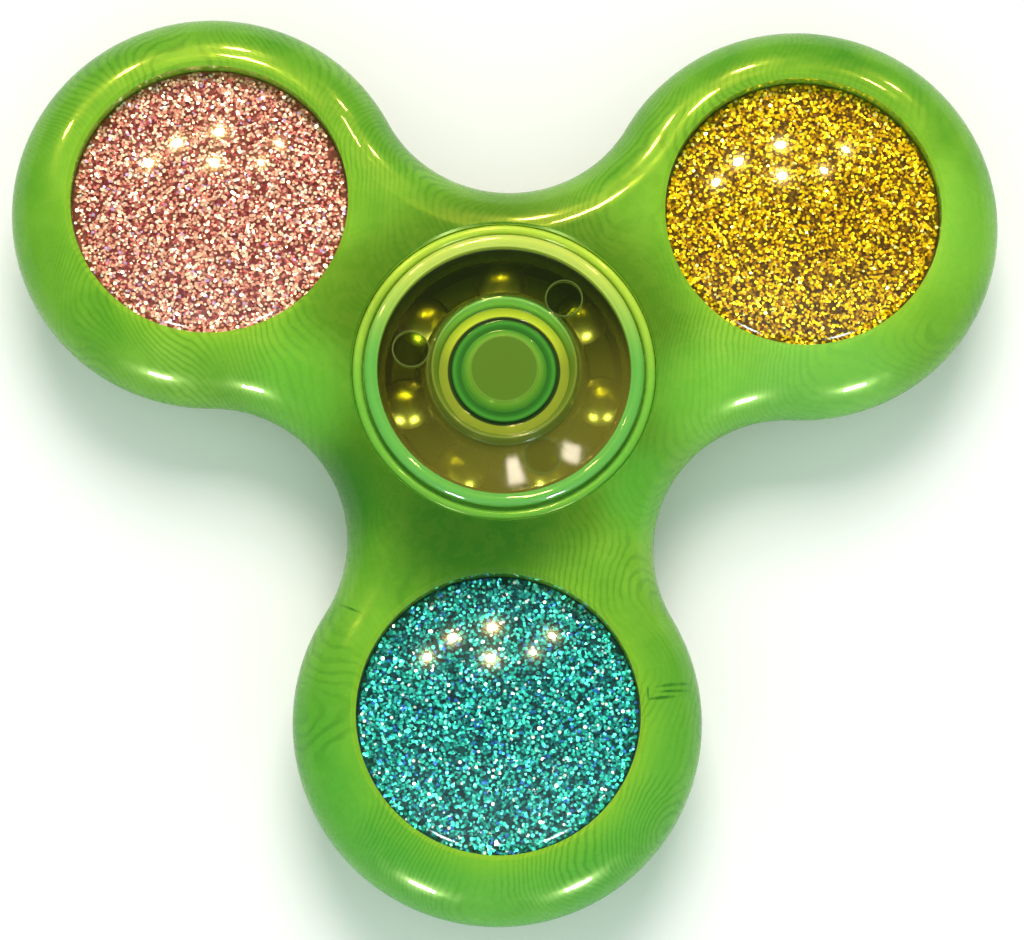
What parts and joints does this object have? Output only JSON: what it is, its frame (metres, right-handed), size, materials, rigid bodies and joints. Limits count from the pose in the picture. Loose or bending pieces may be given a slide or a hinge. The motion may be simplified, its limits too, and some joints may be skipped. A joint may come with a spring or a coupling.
{
  "type": "fidget spinner",
  "caption": "Translucent green three-lobed hand spinner with glitter domes in its lobes, turning on a ball bearing between clear finger caps.",
  "frame": {"origin": "hub centre, on the spin axis at half the body's thickness", "axes": "+Z along the spin axis out of the front cap, +Y away from the teal lobe, +X towards the gold lobe's side"},
  "size_m": [0.0726, 0.0669, 0.013],
  "materials": {
    "body_green": "polished translucent resin",
    "dome_clear": "polished clear resin",
    "glitter_rose": "rose glitter in clear resin",
    "glitter_gold": "gold glitter in clear resin",
    "glitter_teal": "teal glitter in clear resin",
    "weight_steel": "turned",
    "race_steel": "ground and polished",
    "ball_steel": "mirror polished",
    "cage_nylon": "moulded",
    "shield_steel": "pressed, dark",
    "cap_clear": "polished clear green plastic",
    "pin_clear": "polished clear green plastic"
  },
  "bodies": {
    "hub": {"cap_front": "cap_clear", "cap_back": "cap_clear", "axle_pin": "pin_clear", "bearing_inner_race": "race_steel"},
    "rotor": {"body": "body_green", "lens_front_rose": "dome_clear", "glitter_front_rose": "glitter_rose", "weight_rose": "weight_steel", "glitter_back_rose": "glitter_rose", "lens_back_rose": "dome_clear", "lens_front_gold": "dome_clear", "glitter_front_gold": "glitter_gold", "weight_gold": "weight_steel", "glitter_back_gold": "glitter_gold", "lens_back_gold": "dome_clear", "lens_front_teal": "dome_clear", "glitter_front_teal": "glitter_teal", "weight_teal": "weight_steel", "glitter_back_teal": "glitter_teal", "lens_back_teal": "dome_clear", "bearing_outer_race": "race_steel", "bearing_shield_back": "shield_steel"},
    "ball_cage": {"bearing_cage": "cage_nylon"},
    "ball_1": {"bearing_ball_1": "ball_steel"},
    "ball_2": {"bearing_ball_2": "ball_steel"},
    "ball_3": {"bearing_ball_3": "ball_steel"},
    "ball_4": {"bearing_ball_4": "ball_steel"},
    "ball_5": {"bearing_ball_5": "ball_steel"},
    "ball_6": {"bearing_ball_6": "ball_steel"},
    "ball_7": {"bearing_ball_7": "ball_steel"}
  },
  "joints": [
    {"name": "rotor_spin", "type": "hinge", "parent": "hub", "child": "rotor", "pos_m": [0, 0, 0], "axis": [0, 0, 1], "continuous": true},
    {"name": "cage_spin", "type": "hinge", "parent": "hub", "child": "ball_cage", "pos_m": [0, 0, 0], "axis": [0, 0, 1], "continuous": true},
    {"name": "ball_1_roll", "type": "hinge", "parent": "ball_cage", "child": "ball_1", "pos_m": [-0.00025, 0.00725, 0], "axis": [0, 0, 1], "continuous": true},
    {"name": "ball_2_roll", "type": "hinge", "parent": "ball_cage", "child": "ball_2", "pos_m": [-0.00582, 0.00432, 0], "axis": [0, 0, 1], "continuous": true},
    {"name": "ball_3_roll", "type": "hinge", "parent": "ball_cage", "child": "ball_3", "pos_m": [-0.00701, -0.00186, 0], "axis": [0, 0, 1], "continuous": true},
    {"name": "ball_4_roll", "type": "hinge", "parent": "ball_cage", "child": "ball_4", "pos_m": [-0.00292, -0.00664, 0], "axis": [0, 0, 1], "continuous": true},
    {"name": "ball_5_roll", "type": "hinge", "parent": "ball_cage", "child": "ball_5", "pos_m": [0.00337, -0.00642, 0], "axis": [0, 0, 1], "continuous": true},
    {"name": "ball_6_roll", "type": "hinge", "parent": "ball_cage", "child": "ball_6", "pos_m": [0.00712, -0.00137, 0], "axis": [0, 0, 1], "continuous": true},
    {"name": "ball_7_roll", "type": "hinge", "parent": "ball_cage", "child": "ball_7", "pos_m": [0.00551, 0.00472, 0], "axis": [0, 0, 1], "continuous": true}
  ],
  "couplings": [
    {"joint": "cage_spin", "follows": "rotor_spin", "ratio": 0.63686},
    {"joint": "ball_1_roll", "follows": "rotor_spin", "ratio": 1.6898},
    {"joint": "ball_2_roll", "follows": "rotor_spin", "ratio": 1.6898},
    {"joint": "ball_3_roll", "follows": "rotor_spin", "ratio": 1.6898},
    {"joint": "ball_4_roll", "follows": "rotor_spin", "ratio": 1.6898},
    {"joint": "ball_5_roll", "follows": "rotor_spin", "ratio": 1.6898},
    {"joint": "ball_6_roll", "follows": "rotor_spin", "ratio": 1.6898},
    {"joint": "ball_7_roll", "follows": "rotor_spin", "ratio": 1.6898}
  ]
}
